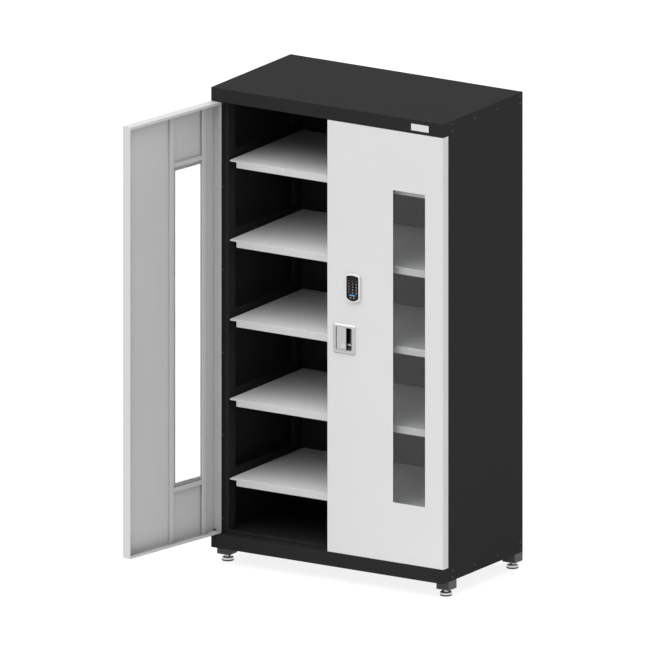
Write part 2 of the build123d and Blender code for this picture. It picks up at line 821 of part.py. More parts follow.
def lock_pinion():
    """Twelve-tooth pinion about its own axis, a tooth space on each side along X."""
    pressure = math.radians(pressure_angle)
    base_radius = pinion_pitch_radius * math.cos(pressure)
    tip_radius = pinion_pitch_radius + gear_module
    root_radius = pinion_pitch_radius - rack_addendum - root_clearance
    half_tooth = math.pi / (2 * gear_teeth) - tooth_play / (2 * pinion_pitch_radius)
    flank_start = half_tooth + math.tan(pressure) - pressure
    flank_radii = [base_radius + (tip_radius - base_radius) * i / 4 for i in range(5)]
    points = []
    for tooth in range(gear_teeth):
        middle = (tooth + 0.5) * 2 * math.pi / gear_teeth
        flank = [(root_radius, flank_start)]
        flank += [(radius, flank_start - involute_point(base_radius, radius)) for radius in flank_radii]
        for radius, angle in flank:
            points.append((radius * math.cos(middle - angle), radius * math.sin(middle - angle)))
        for radius, angle in reversed(flank):
            points.append((radius * math.cos(middle + angle), radius * math.sin(middle + angle)))
    wheel = extrude(make_face(Polyline(*points, close=True)), pinion_width / 2, both=True)
    wheel -= Cylinder(stud_radius + running_clearance, 2 * pinion_width)
    return Rot(90, 0, 0) * wheel


def rack_rod(length):
    """Flat rod rising from the pinion, with its rack on the +X edge and the pinion at X = 0."""
    pitch = math.pi * gear_module
    slope = math.tan(math.radians(pressure_angle))
    root_x = -rack_root
    tip_x = -(pinion_pitch_radius - rack_addendum)
    half_at_pitch = pitch / 4 - tooth_play / 2
    half_at_root = half_at_pitch + (rack_root - pinion_pitch_radius) * slope
    half_at_tip = half_at_pitch - rack_addendum * slope
    teeth_behind = rack_rolled_teeth + rack_spare_teeth
    bottom = -(teeth_behind + 0.5) * pitch
    points = [(root_x - rod_width, bottom), (root_x, bottom)]
    for tooth in range(-teeth_behind, rack_spare_teeth + 1):
        middle = tooth * pitch
        points += [
            (root_x, middle - half_at_root),
            (tip_x, middle - half_at_tip),
            (tip_x, middle + half_at_tip),
            (root_x, middle + half_at_root),
        ]
    points += [
        (root_x, length - rod_width / 4),
        (root_x - rod_width / 4, length),
        (root_x - 3 * rod_width / 4, length),
        (root_x - rod_width, length - rod_width / 4),
    ]
    outline = Plane.XZ * make_face(Polyline(*points, close=True))
    return extrude(outline, rod_thickness / 2, both=True)


def lock_place(shape):
    """Moves a piece from the pinion's centre to its place behind the handle."""
    return Pos(pinion_centre_x, rod_middle_y, handle_z) * shape


def upper_rod():
    """Rod thrown up into the top tray."""
    return lock_place(rack_rod(door_top - rod_inset - handle_z))


def lower_rod():
    """Rod thrown down into the base, on the pinion's other side."""
    return lock_place(Rot(0, 180, 0) * rack_rod(handle_z - door_bottom - rod_inset))


def rod_hole(rod_x, z_span):
    """Slot that a rod slides through, in the row of pieces along its way."""
    half_x = rod_width / 2 + slot_clearance
    half_y = rod_thickness / 2 + slot_clearance
    x_span = (rod_x - half_x, rod_x + half_x)
    return block(x_span, (rod_middle_y - half_y, rod_middle_y + half_y), z_span)


def lock_case():
    """Pressed case on the back of the handle, with the stud that carries the pinion."""
    back = cup_depth + cup_wall
    x_span = (pinion_centre_x - case_half_width, pinion_centre_x + case_half_width)
    z_span = (handle_z - case_half_height, handle_z + case_half_height)
    case = block(x_span, (back, back + case_depth), z_span)
    case = fillet(case.edges().filter_by(Axis.Y), case_corner)
    inner_x = (x_span[0] + case_wall, x_span[1] - case_wall)
    inner_z = (z_span[0] + case_wall, z_span[1] - case_wall)
    case -= block(inner_x, (back - past, back + case_depth - case_wall), inner_z)
    stud_span = (back + seat_clearance, back + case_depth - case_wall / 2)
    case += rod_along_y(stud_radius, stud_span, pinion_centre_x, handle_z)
    case -= rod_hole(pinion_centre_x - rod_offset_x, (handle_z, z_span[1] + past))
    return case - rod_hole(pinion_centre_x + rod_offset_x, (z_span[0] - past, handle_z))


def rod_guide(rod_x, end_z, inward):
    """Nylon guide for a rod, fixed inside the door's end."""
    face = end_z + inward * sheet
    z_span = sorted((face, face + inward * guide_height))
    y_span = (rod_middle_y - guide_depth / 2, rod_middle_y + guide_depth / 2)
    guide = block((rod_x - guide_width / 2, rod_x + guide_width / 2), y_span, z_span)
    guide = fillet(guide.edges().filter_by(Axis.Z), edge_radius)
    return guide - rod_hole(rod_x, (z_span[0] - past, z_span[1] + past))


def right_door_panel():
    """The mirrored door, cut for the handle, the keypad's cable and the lock rods."""
    panel = other_side(door_panel())
    around_cup = cup_wall + slot_clearance
    cup_x = (handle_x + grip_left - around_cup, handle_x + grip_right + around_cup)
    cup_half = grip_half_height + around_cup
    cup_z = (handle_z - cup_half, handle_z + cup_half)
    through_skin = (-past, 2 * sheet)
    panel -= block(cup_x, through_skin, cup_z)
    panel -= rod_along_y(cable_hole_radius, through_skin, keypad_x, keypad_z)
    top_span = (door_top - 2 * sheet, door_top + past)
    bottom_span = (door_bottom - past, door_bottom + 2 * sheet)
    panel -= rod_hole(pinion_centre_x - rod_offset_x, top_span)
    return panel - rod_hole(pinion_centre_x + rod_offset_x, bottom_span)


# ---- Small pieces ----------------------------------------------------------------------------
def low_head(radius, height):
    """Low head with a bevelled rim, standing on the XY plane."""
    head = rod(radius, (0, height))
    return chamfer(head.edges().sort_by(Axis.Z)[-1], height * head_bevel_share, radius * head_bevel_share)


def side_rivets():
    """Blind rivets through both side panels into the two trays."""
    head = Rot(0, 90, 0) * low_head(rivet_radius, rivet_head)
    last = cabinet_depth - rivet_last_from_back
    pitch = (last - rivet_first_from_front) / (rivet_columns - 1)
    heads = []
    for column in range(rivet_columns):
        at_corner = column in (0, rivet_columns - 1)
        depths = (rivet_corner_near, rivet_corner_far) if at_corner else (rivet_middle,)
        y = rivet_first_from_front + pitch * column
        for depth in depths:
            for z in (body_top - depth, body_bottom + depth):
                right = Pos(half_width, y, z) * head
                heads += [right, other_side(right)]
    return heads


def post_screws():
    """Screws down the front webs of the posts."""
    head = Rot(90, 0, 0) * low_head(screw_radius, screw_head)
    top = opening_top - screw_first_below_top
    pitch = (top - opening_bottom - screw_last_above_floor) / (screw_count - 1)
    heads = []
    for row in range(screw_count):
        left = Pos(-half_width + screw_from_side, post_front, top - pitch * row) * head
        heads += [left, other_side(left)]
    return heads


def name_plate():
    """Bare plate on the fascia."""
    right = half_width - plate_from_side
    top = body_top - plate_below_top
    plate = block((right - plate_width, right), (-plate_thickness, 0), (top - plate_height, top))
    return fillet(plate.edges().filter_by(Axis.Y), plate_corner)


# ---- The pieces ------------------------------------------------------------------------------
def carcass_nodes():
    """Everything that stays still."""
    left_side = side_panel()
    front_left = post(post_front, 1)
    rear_left = post(back_inner, -1)
    rails = [shelf_rail(top) for top in shelf_tops]
    rear_leg_front = cabinet_depth - leg_size
    legs = []
    nuts = []
    for x in foot_xs:
        legs += [leg(x, foot_front_y, carcass_front), leg(x, foot_back_y, rear_leg_front)]
        nuts += [foot_nut(x, foot_front_y), foot_nut(x, foot_back_y)]
    pins = [hinge_pin(opening_top, 1), hinge_pin(opening_bottom, -1)]
    nodes = {
        "top_tray": top_tray(),
        "base_tray": base_tray(),
        "side_panel_left": left_side,
        "side_panel_right": other_side(left_side),
        "back_panel": back_panel(),
        "post_front_left": front_left,
        "post_front_right": other_side(front_left),
        "post_rear_left": rear_left,
        "post_rear_right": other_side(rear_left),
        "shelf_rails_left": rails,
        "shelf_rails_right": [other_side(rail) for rail in rails],
        "door_seal": door_seal(),
        "hinge_pins": pins + [other_side(pin) for pin in pins],
        "leg_brackets": legs,
        "foot_nuts": nuts,
        "side_rivets": side_rivets(),
        "post_screws": post_screws(),
        "name_plate": name_plate(),
    }
    for number, top in enumerate(shelf_tops, start=1):
        nodes[f"shelf_{number}"] = shelf(top)
    return nodes


def foot_nodes():
    """Four levelling feet with their pads."""
    nodes = {}
    for y, end in ((foot_front_y, "front"), (foot_back_y, "rear")):
        for x, side in zip(foot_xs, ("left", "right")):
            nodes[f"foot_{end}_{side}"] = foot(x, y)
            nodes[f"foot_pad_{end}_{side}"] = foot_pad(x, y)
    return nodes


def door_pieces():
    """The pieces that both doors have, as the closed left door."""
    return {
        "door_panel": [door_panel()],
        "door_channels": [upright_channel(), retainer_channel()],
        "window_rails": window_rails(),
        "window_glass": [window_glass()],
        "window_tape": [window_tape()],
        "hinge_brackets": [hinge_bracket(door_top, -1), hinge_bracket(door_bottom, 1)],
        "hinge_bushes": [hinge_bush(door_top, -1), hinge_bush(door_bottom, 1)],
    }


def door_nodes():
    """Left door swung open, right door closed."""
    nodes = {}
    for name, solids in door_pieces().items():
        nodes[f"left_{name}"] = [swing_open(solid) for solid in solids]
        nodes[f"right_{name}"] = [other_side(solid) for solid in solids]
    nodes["right_door_panel"] = right_door_panel()
    return nodes


def lock_nodes():
    """Handle, keypad and two-point lock on the right door."""
    upper_x = pinion_centre_x - rod_offset_x
    lower_x = pinion_centre_x + rod_offset_x
    return {
        "handle_housing": handle_place(handle_housing()),
        "handle_pin": handle_place(handle_pin()),
        "handle_paddle": handle_place(handle_paddle()),
        "key_cylinder": handle_place(key_cylinder()),
        "keypad_housing": keypad_place(keypad_housing()),
        "keypad_face": keypad_place(keypad_face()),
        "battery_case": keypad_place(battery_case()),
        "lock_case": lock_case(),
        "lock_pinion": lock_place(lock_pinion()),
        "upper_rod": upper_rod(),
        "lower_rod": lower_rod(),
        "rod_guides": [rod_guide(upper_x, door_top, -1), rod_guide(lower_x, door_bottom, 1)],
    }


def write_nodes():
    """Writes one STEP file per named piece."""
    os.makedirs("parts", exist_ok=True)
    nodes = {**carcass_nodes(), **foot_nodes(), **door_nodes(), **lock_nodes()}
    for name, content in nodes.items():
        solids = content if isinstance(content, list) else [content]
        placed = [to_row_frame * solid for solid in solids]
        shape = placed[0] if len(placed) == 1 else Compound(children=placed)
        export_step(shape, f"parts/{name}.step")


write_nodes()
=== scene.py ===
import math

import bpy
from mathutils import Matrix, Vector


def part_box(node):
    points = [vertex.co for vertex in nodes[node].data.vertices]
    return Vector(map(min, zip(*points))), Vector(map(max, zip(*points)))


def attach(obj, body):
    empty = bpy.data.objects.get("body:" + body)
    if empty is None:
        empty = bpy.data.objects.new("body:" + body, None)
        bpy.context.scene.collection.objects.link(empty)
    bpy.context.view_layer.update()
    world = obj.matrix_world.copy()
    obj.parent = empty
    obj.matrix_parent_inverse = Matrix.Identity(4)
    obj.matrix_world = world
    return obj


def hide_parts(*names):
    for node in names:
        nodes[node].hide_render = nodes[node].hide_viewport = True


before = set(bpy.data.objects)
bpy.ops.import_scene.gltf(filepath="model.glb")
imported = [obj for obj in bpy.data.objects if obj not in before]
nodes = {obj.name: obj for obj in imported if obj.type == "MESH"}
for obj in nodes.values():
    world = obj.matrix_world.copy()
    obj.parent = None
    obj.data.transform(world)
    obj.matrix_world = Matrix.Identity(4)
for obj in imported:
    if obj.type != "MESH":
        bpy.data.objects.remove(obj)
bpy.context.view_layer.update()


# ---- Camera ------------------------------------------------------------------------------------
# A long lens far away, so the cabinet is seen in parallel projection from its right front
# and a little above.
view_azimuth = math.radians(32)
view_elevation = math.radians(15)
view_width = 2.3569
view_right = -0.1623
view_up = 0.8865
view_distance = 8.0
view_reach = 60

camera = bpy.data.objects.new("camera", bpy.data.cameras.new("camera"))
bpy.context.collection.objects.link(camera)
camera.data.type = "ORTHO"
camera.data.ortho_scale = view_width
camera.data.clip_end = view_reach
camera.rotation_euler = (math.pi / 2 - view_elevation, 0, view_azimuth)
facing = camera.rotation_euler.to_matrix()
camera.location = facing @ type(camera.location)((view_right, view_up, view_distance))
bpy.context.scene.camera = camera
bpy.context.scene.view_settings.view_transform = "Standard"


# ---- Studio ------------------------------------------------------------------------------------
# A seamless white studio: a matt white floor, a ceiling that glows more than the walls, one broad
# soft lamp ahead of and above the cabinet, and a low one that fills its right side.
wall_light = 0.36
ceiling_light = 0.74
key_light = 2.08
key_height, key_azimuth = 60, -10
fill_light = 0.72
fill_height, fill_azimuth = 8, 130
lamp_spread = math.radians(60)
floor_half = 30.0
floor_glow = 0.86


def linear(colour):
    """An sRGB hex colour as linear red, green, blue and alpha."""
    parts = [int(colour[i:i + 2], 16) / 255 for i in (0, 2, 4)]
    return [p / 12.92 if p <= 0.04045 else ((p + 0.055) / 1.055) ** 2.4 for p in parts] + [1.0]


def add_node(tree, kind, settings=None, links=None):
    """Adds a shader node with its settings, its input values and what feeds its inputs."""
    node = tree.nodes.new(kind)
    for name, value in (settings or {}).items():
        if name in node.bl_rna.properties:
            setattr(node, name, value)
        else:
            node.inputs[name].default_value = value
    for name, source in (links or {}).items():
        tree.links.new(source, node.inputs[name])
    return node


def bare_material(name):
    """A new material, and its shader tree with nothing in it yet."""
    material = bpy.data.materials.new(name)
    material.use_nodes = True
    material.node_tree.nodes.clear()
    return material, material.node_tree


def seen_directly(tree):
    """1 for what the eye, a reflection or a look through glass meets, 0 for light on matt faces."""
    path = add_node(tree, "ShaderNodeLightPath")
    eye_or_mirror = add_node(
        tree, "ShaderNodeMath", {"operation": "MAXIMUM"},
        {0: path.outputs["Is Camera Ray"], 1: path.outputs["Is Glossy Ray"]})
    or_glass = add_node(
        tree, "ShaderNodeMath", {"operation": "MAXIMUM"},
        {0: eye_or_mirror.outputs[0], 1: path.outputs["Is Transmission Ray"]})
    return or_glass.outputs[0]


world = bpy.data.worlds.new("white_studio")
world.use_nodes = True
world.node_tree.nodes.clear()
bpy.context.scene.world = world
direction = add_node(world.node_tree, "ShaderNodeTexCoord")
height = add_node(
    world.node_tree, "ShaderNodeSeparateXYZ", links={"Vector": direction.outputs["Generated"]})
falloff = add_node(
    world.node_tree, "ShaderNodeMapRange", {"To Min": wall_light, "To Max": ceiling_light},
    {"Value": height.outputs["Z"]})
brightness = add_node(
    world.node_tree, "ShaderNodeMapRange", {"To Max": 1.0},
    {"Value": seen_directly(world.node_tree), "To Min": falloff.outputs[0]})
surround = add_node(
    world.node_tree, "ShaderNodeBackground", {"Color": linear("FFFFFF")},
    {"Strength": brightness.outputs[0]})
add_node(world.node_tree, "ShaderNodeOutputWorld", links={"Surface": surround.outputs[0]})


def soft_lamp(name, energy, height, azimuth):
    """A broad lamp far off, by its height and its azimuth from straight ahead, in degrees."""
    lamp = bpy.data.objects.new(name, bpy.data.lights.new(name, "SUN"))
    bpy.context.collection.objects.link(lamp)
    lamp.data.energy = energy
    lamp.data.angle = lamp_spread
    lamp.rotation_euler = (math.radians(90 - height), 0, math.radians(azimuth))


soft_lamp("key_lamp", key_light, key_height, key_azimuth)
soft_lamp("fill_lamp", fill_light, fill_height, fill_azimuth)

bpy.ops.mesh.primitive_plane_add(size=2 * floor_half, location=(0, 0, 0))
floor = bpy.context.object
floor.name = "floor"
# Matt white paint: it glows to the eye, so the floor runs into the walls without a line.
paint, tree = bare_material("white_studio_floor")
bounced = add_node(tree, "ShaderNodeBsdfDiffuse", {"Color": linear("E4E4E4")})
shaded = add_node(tree, "ShaderNodeBsdfDiffuse", {"Color": linear("808080")})
glow = add_node(tree, "ShaderNodeEmission", {"Color": linear("FFFFFF"), "Strength": floor_glow})
seen = add_node(tree, "ShaderNodeAddShader", links={0: shaded.outputs[0], 1: glow.outputs[0]})
floor_skin = add_node(
    tree, "ShaderNodeMixShader",
    links={0: seen_directly(tree), 1: bounced.outputs[0], 2: seen.outputs[0]})
add_node(tree, "ShaderNodeOutputMaterial", links={"Surface": floor_skin.outputs[0]})
floor.data.materials.append(paint)


# ---- Carcass -----------------------------------------------------------------------------------
# The top and base trays, sides, back, posts and shelf rails are folded from 1.2 mm mild steel,
# welded and riveted together, and powder coated black before the shelves go in.
peel_mm = 2.2
peel_depth = 0.00006
fold_radius = 0.0012
cloud_per_metre = 3.0
cloud_change = 0.03
sheen_change = 0.04
peel_strength = 0.6
painted_shade_reach = 0.07
closed_in, wide_open = 0.25, 0.95
turned_away, turned_towards = 0.5, 0.95


def tinted(tree, colour, tone):
    """A colour made lighter or darker by a tone round 1."""
    tint = add_node(tree, "ShaderNodeVectorMath", {"operation": "SCALE"}, {"Scale": tone})
    tint.inputs[0].default_value = linear(colour)[:3]
    return tint.outputs[0]


def times(tree, first, second):
    """The product of two shader values."""
    product = add_node(tree, "ShaderNodeMath", {"operation": "MULTIPLY"}, {0: first, 1: second})
    return product.outputs[0]


def powder_coat(name, colour, roughness, specular, painted_crease_shade=1.0, towards=None, face=1.0, rest=1.0):
    """Baked powder paint: matt to satin, with orange peel, soft folds and painted shade in corners.

    Where a direction is given, the faces turned towards it and the rest are painted a shade apart,
    as painted light and shade, so the folds read clearly to the eye."""
    material, tree = bare_material(name)
    space = add_node(tree, "ShaderNodeTexCoord")
    place = space.outputs["Object"]
    peel = add_node(
        tree, "ShaderNodeTexNoise", {"Scale": 1000 / peel_mm, "Detail": 3.0, "Roughness": 0.55},
        {"Vector": place})
    cloud = add_node(
        tree, "ShaderNodeTexNoise", {"Scale": cloud_per_metre, "Detail": 2.0}, {"Vector": place})
    uneven = add_node(
        tree, "ShaderNodeMapRange", {"To Min": 1 - cloud_change, "To Max": 1 + cloud_change},
        {"Value": cloud.outputs["Fac"]})
    shade = uneven.outputs[0]
    # Painted shade: the colour darkens where ambient occlusion finds corners and creases close by.
    if painted_crease_shade < 1:
        openness = add_node(
            tree, "ShaderNodeAmbientOcclusion", {"samples": 8, "Distance": painted_shade_reach})
        depth = add_node(
            tree, "ShaderNodeMapRange",
            {"From Min": closed_in, "From Max": wide_open, "To Min": painted_crease_shade, "To Max": 1.0},
            {"Value": openness.outputs["AO"]})
        shade = times(tree, shade, depth.outputs[0])
    # Painted shade: faces turned towards the direction take the face shade, the rest the rest
    # shade.
    if towards:
        turn = add_node(
            tree, "ShaderNodeVectorMath", {"operation": "DOT_PRODUCT"},
            {0: space.outputs["Normal"]})
        turn.inputs[1].default_value = towards
        painted_side_shade = add_node(
            tree, "ShaderNodeMapRange",
            {"From Min": turned_away, "From Max": turned_towards, "To Min": rest, "To Max": face},
            {"Value": turn.outputs["Value"]})
        shade = times(tree, shade, painted_side_shade.outputs[0])
    satin = add_node(
        tree, "ShaderNodeMapRange",
        {"To Min": roughness - sheen_change, "To Max": roughness + sheen_change},
        {"Value": cloud.outputs["Fac"]})
    folds = add_node(tree, "ShaderNodeBevel", {"samples": 4, "Radius": fold_radius})
    bump = add_node(
        tree, "ShaderNodeBump", {"Strength": peel_strength, "Distance": peel_depth},
        {"Height": peel.outputs["Fac"], "Normal": folds.outputs[0]})
    skin = add_node(
        tree, "ShaderNodeBsdfPrincipled", {"Specular IOR Level": specular, "IOR": 1.5},
        {"Base Color": tinted(tree, colour, shade), "Roughness": satin.outputs[0],
         "Normal": bump.outputs[0]})
    add_node(tree, "ShaderNodeOutputMaterial", links={"Surface": skin.outputs[0]})
    return material


def dress(material, *names):
    """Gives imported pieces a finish."""
    for name in names:
        piece = nodes[name]
        piece.data.materials.clear()
        piece.data.materials.append(material)


# Matt black polyester powder: it drinks the light, and only its folds catch a thin line.
# Painted shade: its faces turned up are painted a shade darker than the rest.
black_coat = powder_coat(
    "matt_black_powder_coat", "2B2B2C", 0.65, 0.03, towards=(0, 0, 1), face=0.86)
dress(black_coat, "top_tray", "base_tray", "side_panel_left", "side_panel_right", "back_panel",
      "post_front_left", "post_front_right", "post_rear_left", "post_rear_right",
      "shelf_rails_left", "shelf_rails_right")

# Steel rivets dipped black: smoother than the coat, so each head shows as a soft dot.
rivet_black = powder_coat("black_dipped_rivet", "2A2A2B", 0.4, 0.5)
dress(rivet_black, "side_rivets")


# ---- Post screws -------------------------------------------------------------------------------
# Six low-headed cross-recessed machine screws down each front post hold the shelf rails behind
# it. Each is cold-headed steel, turned in by hand and blackened, with a bright edge at the cross.
screw_radius = 0.0036
screw_rim = 0.0008
screw_crown = 0.0002
screw_rows = 6
cross_reach = 0.0044
cross_width = 0.0010
cross_depth = 0.0005
square_on = 0.9


def only(piece):
    """Nothing but this piece selected and active."""
    bpy.ops.object.select_all(action="DESELECT")
    piece.select_set(True)
    bpy.context.view_layer.objects.active = piece


def open_faces(piece, chosen):
    """Edit mode on the piece with the chosen faces selected."""
    only(piece)
    bpy.ops.object.mode_set(mode="EDIT")
    bpy.ops.mesh.select_mode(type="FACE")
    bpy.ops.mesh.select_all(action="DESELECT")
    bpy.ops.object.mode_set(mode="OBJECT")
    for face in piece.data.polygons:
        face.select = chosen(face)
    bpy.ops.object.mode_set(mode="EDIT")


def faces_front(face):
    """Towards the front of the cabinet."""
    return face.normal.y < -square_on


def settle(piece):
    """Moves the piece's place, turn and size into its mesh."""
    only(piece)
    bpy.ops.object.transform_apply(location=True, rotation=True, scale=True)


def disc_to_front(vertices, radius, thickness, place):
    """A sharp disc that faces the front of the cabinet, as the active piece."""
    bpy.ops.object.select_all(action="DESELECT")
    bpy.ops.mesh.primitive_cylinder_add(
        vertices=vertices, radius=radius, depth=thickness, rotation=(math.pi / 2, 0, 0),
        location=place)
    disc = bpy.context.object
    settle(disc)
    return disc


low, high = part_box("post_screws")
screw = disc_to_front(24, screw_radius, screw_rim, (0, -screw_rim / 2, 0))
open_faces(screw, faces_front)
bpy.ops.mesh.inset(thickness=screw_radius / 4, depth=screw_crown)
bpy.ops.mesh.inset(thickness=screw_radius / 4, depth=screw_crown / 2)
bpy.ops.object.mode_set(mode="OBJECT")
for size in ((cross_reach, cross_depth, cross_width), (cross_width, cross_depth, cross_reach)):
    bpy.ops.object.select_all(action="DESELECT")
    bpy.ops.mesh.primitive_cube_add(size=1, location=(0, -screw_rim - screw_crown, 0))
    arm = bpy.context.object
    arm.scale = size
    settle(arm)
    only(screw)
    cut = screw.modifiers.new("cross", "BOOLEAN")
    cut.operation = "DIFFERENCE"
    cut.object = arm
    bpy.ops.object.modifier_apply(modifier=cut.name)
    bpy.data.objects.remove(arm)

# Blackened steel: dark, with a dull metal gleam.
screw_steel = powder_coat("blackened_screw_steel", "3A3A3C", 0.35, 0.5)
screw.data.materials.append(screw_steel)
screw_mesh = screw.data
bpy.data.objects.remove(screw)


def drive_screw(name, place, turn, body):
    """A screw under this name, its head on this point and turned about the upright."""
    copy = bpy.data.objects.new(name, screw_mesh.copy())
    bpy.context.collection.objects.link(copy)
    copy.location = place
    copy.rotation_euler = (0, 0, turn)
    settle(copy)
    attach(copy, body)
    return copy


pitch = (high[2] - low[2] - 2 * screw_radius) / (screw_rows - 1)
for row in range(screw_rows):
    z = high[2] - screw_radius - pitch * row
    for side, x in (("left", low[0] + screw_radius), ("right", high[0] - screw_radius)):
        post_screw = drive_screw(f"post_screw_{side}_{row + 1}", (x, high[1], z), 0, "cabinet")
        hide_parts("post_screws")


# ---- Shelves -----------------------------------------------------------------------------------
# Five shelves folded from the same sheet, with deep lips front and back, powder coated light
# grey. They lie on the rails and lift out.
# Satin polyester powder, with painted shade on the lips and every face not turned up.
shelf_coat = powder_coat(
    "satin_light_grey_shelf_coat", "E4E4E4", 0.5, 0.3, towards=(0, 0, 1), rest=0.79)
dress(shelf_coat, "shelf_1", "shelf_2", "shelf_3", "shelf_4", "shelf_5")


# ---- Doors -------------------------------------------------------------------------------------
# Each door is a folded steel pan with upright channels and window rails spot welded inside and
# its hinge brackets welded on before coating, so all of them wear one white skin.
# Satin white polyester powder: bright and even, with painted shade where sheet meets sheet,
# and a lighter painted shade on every face not turned the way the door's front faces.
for side, opened in (("left", math.radians(100)), ("right", 0)):
    door_coat = powder_coat(
        f"satin_white_{side}_door_coat", "DADADA", 0.45, 0.35, painted_crease_shade=0.72,
        towards=(-math.sin(opened), -math.cos(opened), 0), rest=0.9)
    dress(door_coat, f"{side}_door_panel", f"{side}_door_channels", f"{side}_window_rails",
          f"{side}_hinge_brackets")

# The hinge pins are blackened steel in natural nylon bushes.
pin_steel = powder_coat("blackened_pin_steel", "303032", 0.35, 0.5)
dress(pin_steel, "hinge_pins")


# ---- Windows -----------------------------------------------------------------------------------
# Clear float glass, bonded behind the door skin on white double-sided glazing tape.
def clear_glass(name):
    """Clear float glass, thin enough to show no green."""
    material, tree = bare_material(name)
    pane = add_node(
        tree, "ShaderNodeBsdfPrincipled",
        {"Base Color": linear("FDFEFE"), "Roughness": 0.0, "IOR": 1.35, "Transmission Weight": 1.0})
    add_node(tree, "ShaderNodeOutputMaterial", links={"Surface": pane.outputs[0]})
    return material


float_glass = clear_glass("clear_float_glass")
dress(float_glass, "left_window_glass", "right_window_glass")


grain_change = 0.04
grain_strength = 0.5


def moulded(name, colour, roughness, grain_mm=0.8, grain_depth=0.00003, specular=0.5):
    """Moulded plastic, foam or rubber with a fine spark-eroded grain and softened edges."""
    material, tree = bare_material(name)
    place = add_node(tree, "ShaderNodeTexCoord").outputs["Object"]
    grain = add_node(
        tree, "ShaderNodeTexNoise", {"Scale": 1000 / grain_mm, "Detail": 4.0}, {"Vector": place})
    tone = add_node(
        tree, "ShaderNodeMapRange", {"To Min": 1 - grain_change, "To Max": 1 + grain_change},
        {"Value": grain.outputs["Fac"]})
    bump = add_node(
        tree, "ShaderNodeBump", {"Strength": grain_strength, "Distance": grain_depth},
        {"Height": grain.outputs["Fac"]})
    body = add_node(
        tree, "ShaderNodeBsdfPrincipled",
        {"Roughness": roughness, "Specular IOR Level": specular},
        {"Base Color": tinted(tree, colour, tone.outputs[0]), "Normal": bump.outputs[0]})
    add_node(tree, "ShaderNodeOutputMaterial", links={"Surface": body.outputs[0]})
    return material


# Acrylic foam tape, cut edge showing: matt and chalky.
glazing_tape = moulded("white_glazing_tape", "DCDCDC", 0.7)
dress(glazing_tape, "left_window_tape", "right_window_tape")


# ---- Door seal ---------------------------------------------------------------------------------
# Closed-cell EPDM foam strip stuck round the front of the carcass: dead black and soft, with
# open pores about half a millimetre across.
seal_foam = moulded("black_epdm_foam", "141414", 0.9, grain_mm=0.5, grain_depth=0.0001)
dress(seal_foam, "door_seal")


# ---- Hinges and rod guides ---------------------------------------------------------------------
# The hinge bushes and the guides of the locking rods are turned and moulded from natural nylon:
# a waxy off-white.
natural_nylon = moulded("natural_nylon", "D8D4CA", 0.5)
dress(natural_nylon, "left_hinge_bushes", "right_hinge_bushes", "rod_guides")


# ---- Handle ------------------------------------------------------------------------------------
# A recessed pull handle die-cast in zinc: a flush frame round a hollow that slopes in from the
# left, and a flap with the key cylinder over its left half. The frame is satin plated after
# tumbling, and the hollow behind the door face carries painted shade, darker the deeper it goes.
door_front = -0.275
hollow_depth = 0.020
tumble_change = 0.05


def plated_metal(name, colour, roughness, grain_mm=0.6, grain_depth=0.00002, painted_hollow_shade=1.0):
    """Plated or cast metal with a fine tumbled grain, and painted shade inside the door where
    asked.
    """
    material, tree = bare_material(name)
    place = add_node(tree, "ShaderNodeTexCoord").outputs["Object"]
    grain = add_node(
        tree, "ShaderNodeTexNoise", {"Scale": 1000 / grain_mm, "Detail": 4.0}, {"Vector": place})
    spread = add_node(
        tree, "ShaderNodeMapRange",
        {"To Min": roughness - tumble_change, "To Max": roughness + tumble_change},
        {"Value": grain.outputs["Fac"]})
    bump = add_node(
        tree, "ShaderNodeBump", {"Strength": grain_strength, "Distance": grain_depth},
        {"Height": grain.outputs["Fac"]})
    along = add_node(tree, "ShaderNodeSeparateXYZ", links={"Vector": place})
    tone = add_node(
        tree, "ShaderNodeMapRange",
        {"From Min": door_front, "From Max": door_front + hollow_depth, "To Min": 1.0,
         "To Max": painted_hollow_shade},
        {"Value": along.outputs["Y"]})
    metal = add_node(
        tree, "ShaderNodeBsdfPrincipled", {"Metallic": 1.0},
        {"Base Color": tinted(tree, colour, tone.outputs[0]), "Roughness": spread.outputs[0],
         "Normal": bump.outputs[0]})
    add_node(tree, "ShaderNodeOutputMaterial", links={"Surface": metal.outputs[0]})
    return material


# Satin nickel over zinc: an even pale grey that spreads every reflection wide.
# Painted shade: behind the door face the hollow and the flap's back darken to near black.
satin_zinc = plated_metal("satin_plated_zinc", "C4C4C4", 0.46, painted_hollow_shade=0.08)
dress(satin_zinc, "handle_housing", "handle_paddle")

# The key cylinder's cap is polished chrome: a small hard mirror with the slot black in it.
lock_plating = plated_metal("polished_lock_plating", "D0D0D0", 0.15)
dress(lock_plating, "key_cylinder")


# ---- Lock --------------------------------------------------------------------------------------
# Inside the right door a pressed case holds the pinion that drives both locking rods, all in
# bright zinc plate. The handle's pin is the same steel.
# Bright zinc: cool, a little bluish, with a soft mirror.
zinc_plate = plated_metal("bright_zinc_plating", "C6C7C9", 0.28)
dress(zinc_plate, "lock_case", "upper_rod", "lower_rod", "lock_pinion", "handle_pin", "foot_nuts")

# Four of the same screws hold the case to the back of the handle.
screw_inset = 0.006
low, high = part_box("lock_case")
for x, side in ((low[0] + screw_inset, "left"), (high[0] - screw_inset, "right")):
    for z, end in ((low[2] + screw_inset, "lower"), (high[2] - screw_inset, "upper")):
        drive_screw(f"lock_screw_{end}_{side}", (x, high[1], z), math.pi, "right_door")


# ---- Battery case ------------------------------------------------------------------------------
# A white ABS box behind the keypad, screwed on from inside the door, with a sliding lid that has
# three moulded ribs for the thumb.
# Moulded ABS: a clean white with a low satin sheen and a fine spark-eroded grain.
case_abs = moulded("white_moulded_abs", "DEDEDE", 0.42)
dress(case_abs, "battery_case")

lid_inset = 0.003
lid_thickness = 0.0012
lid_panel = 0.0003
lid_rim = 0.0018
edge_round = 0.0003
sharp_from = math.radians(40)
rib_size = (0.018, 0.0008, 0.0012)
rib_pitch = 0.003
rib_below_top = 0.008


